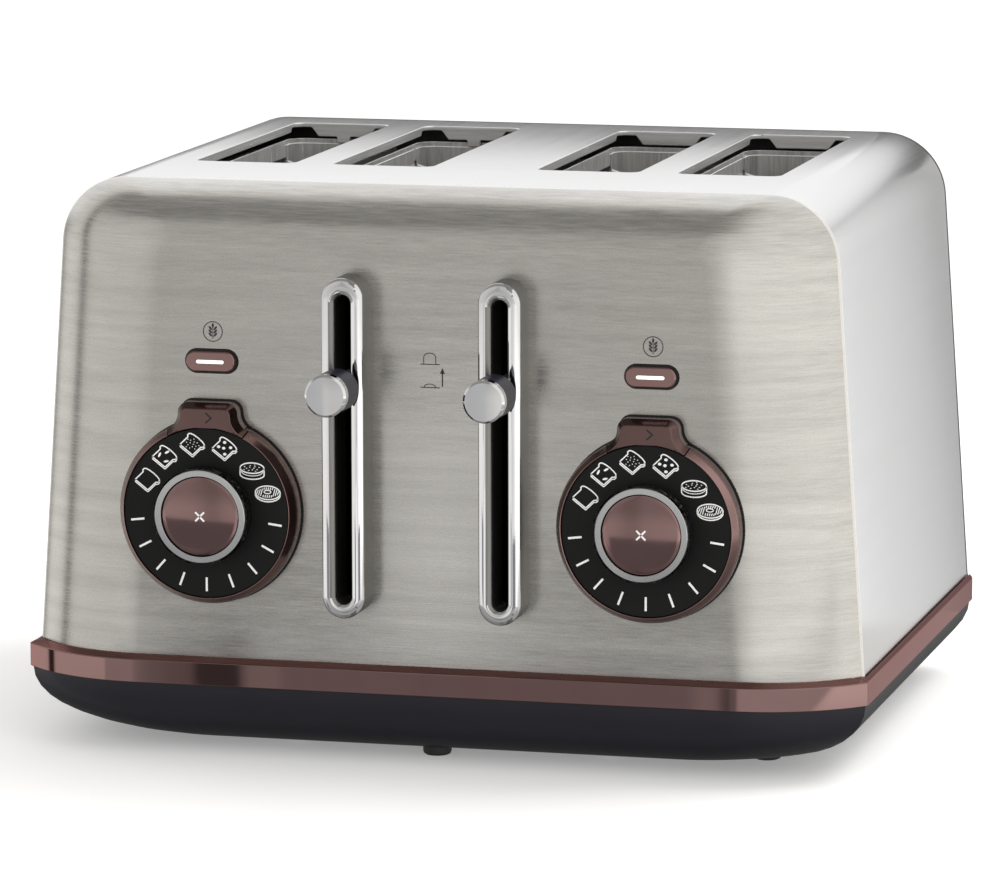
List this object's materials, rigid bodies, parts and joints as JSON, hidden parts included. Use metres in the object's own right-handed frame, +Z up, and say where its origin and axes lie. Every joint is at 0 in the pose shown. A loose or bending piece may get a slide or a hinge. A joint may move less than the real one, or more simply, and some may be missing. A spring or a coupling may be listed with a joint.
{
  "type": "pop up toaster",
  "caption": "Wide steel pop-up toaster with lengthwise bread slots, front levers, round browning dials with push buttons, a rose bronze trim band and a dark base.",
  "frame": {"origin": "on the floor under the middle of the toaster, at the bottom centre of its bounding box", "axes": "+Z up, -Y towards the front with the levers, +X to the right as seen from the front"},
  "size_m": [0.33, 0.2854, 0.2195],
  "materials": {
    "satin_steel": "satin sheet steel",
    "brushed_front": "warm grey steel brushed from side to side",
    "rear_plate": "dark satin moulded back",
    "base_plastic": "dark charcoal, satin",
    "rose_trim": "rose bronze plating, glossy",
    "foot_rubber": "matt black",
    "screw_metal": "bright",
    "bezel_chrome": "polished",
    "channel_plastic": "matt black",
    "grip_plastic": "dark grey",
    "cap_chrome": "polished",
    "ring_metal": "rose bronze plating, glossy",
    "dial_black": "matt black",
    "knob_chrome": "polished, ridged side",
    "button_metal": "rose bronze plating",
    "carriage_steel": "plain pressed steel",
    "wire_steel": "bright wire",
    "spring_steel": "bright spring wire",
    "rod_steel": "ground rod",
    "magnet_metal": "lacquered coil and core",
    "chamber_sheet": "plain bright sheet",
    "frame_steel": "bright sheet steel",
    "reflector_sheet": "bright sheet",
    "mica_board": "mica sheet, matt",
    "tray_steel": "plain sheet steel",
    "circuit_board": "green board",
    "gland_rubber": "matt black"
  },
  "bodies": {
    "toaster_body": {"wrap_shell": "satin_steel", "front_panel": "brushed_front", "rear_panel": "rear_plate", "base_tray": "base_plastic", "trim_front": "rose_trim", "trim_left": "rose_trim", "trim_right": "rose_trim", "feet": "foot_rubber", "base_screws": "screw_metal", "lever_bezel_left": "bezel_chrome", "lever_bezel_right": "bezel_chrome", "lever_channels": "channel_plastic", "dial_ring_left": "ring_metal", "dial_ring_right": "ring_metal", "dial_face_left": "dial_black", "dial_face_right": "dial_black", "lift_spring_left": "spring_steel", "lift_spring_right": "spring_steel", "guide_rods": "rod_steel", "latch_magnets": "magnet_metal", "chamber_front": "chamber_sheet", "chamber_rear": "chamber_sheet", "chamber_top": "frame_steel", "reflectors": "reflector_sheet", "heater_boards": "mica_board", "control_boards": "circuit_board", "power_board": "circuit_board", "cord_gland": "gland_rubber"},
    "lever_left": {"carriage_left": "carriage_steel", "lever_grip_left": "grip_plastic", "lever_cap_left": "cap_chrome", "bread_rack_left": "wire_steel"},
    "knob_left": {"browning_knob_left": "knob_chrome"},
    "cancel_left": {"cancel_button_left": "button_metal"},
    "select_left": {"select_button_left": "button_metal"},
    "preset_left": {"preset_button_left": "button_metal"},
    "tray_left": {"crumb_tray_left": "tray_steel"},
    "lever_right": {"carriage_right": "carriage_steel", "lever_grip_right": "grip_plastic", "lever_cap_right": "cap_chrome", "bread_rack_right": "wire_steel"},
    "knob_right": {"browning_knob_right": "knob_chrome"},
    "cancel_right": {"cancel_button_right": "button_metal"},
    "select_right": {"select_button_right": "button_metal"},
    "preset_right": {"preset_button_right": "button_metal"},
    "tray_right": {"crumb_tray_right": "tray_steel"},
    "guide_1a": {"bread_guide_1a": "wire_steel"},
    "guide_1b": {"bread_guide_1b": "wire_steel"},
    "guide_2a": {"bread_guide_2a": "wire_steel"},
    "guide_2b": {"bread_guide_2b": "wire_steel"},
    "guide_3a": {"bread_guide_3a": "wire_steel"},
    "guide_3b": {"bread_guide_3b": "wire_steel"},
    "guide_4a": {"bread_guide_4a": "wire_steel"},
    "guide_4b": {"bread_guide_4b": "wire_steel"}
  },
  "joints": [
    {"name": "lever_travel_left", "type": "slide", "parent": "toaster_body", "child": "lever_left", "axis": [0, 0, 1], "range_m": [-0.076, 0.028], "stiffness_N_per_m": 100, "springref_m": 0.0203, "deforming": ["lift_spring_left"]},
    {"name": "browning_turn_left", "type": "hinge", "parent": "toaster_body", "child": "knob_left", "pos_m": [-0.08542, -0.11, 0.096], "axis": [0, -1, 0], "range_deg": [-83, 83]},
    {"name": "cancel_press_left", "type": "slide", "parent": "toaster_body", "child": "cancel_left", "axis": [0, 1, 0], "range_m": [0, 0.0012], "stiffness_N_per_m": 500, "springref_m": -0.001},
    {"name": "select_press_left", "type": "slide", "parent": "toaster_body", "child": "select_left", "axis": [0, 1, 0], "range_m": [0, 0.001], "stiffness_N_per_m": 500, "springref_m": -0.001},
    {"name": "preset_press_left", "type": "slide", "parent": "toaster_body", "child": "preset_left", "axis": [0, 1, 0], "range_m": [0, 0.001], "stiffness_N_per_m": 500, "springref_m": -0.001},
    {"name": "tray_pull_left", "type": "slide", "parent": "toaster_body", "child": "tray_left", "axis": [0, 1, 0], "range_m": [0, 0.15]},
    {"name": "lever_travel_right", "type": "slide", "parent": "toaster_body", "child": "lever_right", "axis": [0, 0, 1], "range_m": [-0.076, 0.028], "stiffness_N_per_m": 100, "springref_m": 0.0203, "deforming": ["lift_spring_right"]},
    {"name": "browning_turn_right", "type": "hinge", "parent": "toaster_body", "child": "knob_right", "pos_m": [0.08542, -0.11, 0.096], "axis": [0, -1, 0], "range_deg": [-83, 83]},
    {"name": "cancel_press_right", "type": "slide", "parent": "toaster_body", "child": "cancel_right", "axis": [0, 1, 0], "range_m": [0, 0.0012], "stiffness_N_per_m": 500, "springref_m": -0.001},
    {"name": "select_press_right", "type": "slide", "parent": "toaster_body", "child": "select_right", "axis": [0, 1, 0], "range_m": [0, 0.001], "stiffness_N_per_m": 500, "springref_m": -0.001},
    {"name": "preset_press_right", "type": "slide", "parent": "toaster_body", "child": "preset_right", "axis": [0, 1, 0], "range_m": [0, 0.001], "stiffness_N_per_m": 500, "springref_m": -0.001},
    {"name": "tray_pull_right", "type": "slide", "parent": "toaster_body", "child": "tray_right", "axis": [0, 1, 0], "range_m": [0, 0.15]},
    {"name": "guide_1a_swing", "type": "hinge", "parent": "toaster_body", "child": "guide_1a", "pos_m": [-0.11344, 0, 0.052], "axis": [0, 1, 0], "range_deg": [-1.5, 4.05]},
    {"name": "guide_1b_swing", "type": "hinge", "parent": "toaster_body", "child": "guide_1b", "pos_m": [-0.07944, 0, 0.052], "axis": [0, 1, 0], "range_deg": [-4.05, 1.5]},
    {"name": "guide_2a_swing", "type": "hinge", "parent": "toaster_body", "child": "guide_2a", "pos_m": [-0.05795, 0, 0.052], "axis": [0, 1, 0], "range_deg": [-1.5, 4.05]},
    {"name": "guide_2b_swing", "type": "hinge", "parent": "toaster_body", "child": "guide_2b", "pos_m": [-0.02395, 0, 0.052], "axis": [0, 1, 0], "range_deg": [-4.05, 1.5]},
    {"name": "guide_3a_swing", "type": "hinge", "parent": "toaster_body", "child": "guide_3a", "pos_m": [0.02395, 0, 0.052], "axis": [0, 1, 0], "range_deg": [-1.5, 4.05]},
    {"name": "guide_3b_swing", "type": "hinge", "parent": "toaster_body", "child": "guide_3b", "pos_m": [0.05795, 0, 0.052], "axis": [0, 1, 0], "range_deg": [-4.05, 1.5]},
    {"name": "guide_4a_swing", "type": "hinge", "parent": "toaster_body", "child": "guide_4a", "pos_m": [0.07944, 0, 0.052], "axis": [0, 1, 0], "range_deg": [-1.5, 4.05]},
    {"name": "guide_4b_swing", "type": "hinge", "parent": "toaster_body", "child": "guide_4b", "pos_m": [0.11344, 0, 0.052], "axis": [0, 1, 0], "range_deg": [-4.05, 1.5]}
  ],
  "couplings": [
    {"joint": "guide_1a_swing", "follows": "lever_travel_left", "rad_per_m": -0.9186},
    {"joint": "guide_1b_swing", "follows": "lever_travel_left", "rad_per_m": 0.9186},
    {"joint": "guide_2a_swing", "follows": "lever_travel_left", "rad_per_m": -0.9186},
    {"joint": "guide_2b_swing", "follows": "lever_travel_left", "rad_per_m": 0.9186},
    {"joint": "guide_3a_swing", "follows": "lever_travel_right", "rad_per_m": -0.9186},
    {"joint": "guide_3b_swing", "follows": "lever_travel_right", "rad_per_m": 0.9186},
    {"joint": "guide_4a_swing", "follows": "lever_travel_right", "rad_per_m": -0.9186},
    {"joint": "guide_4b_swing", "follows": "lever_travel_right", "rad_per_m": 0.9186}
  ]
}
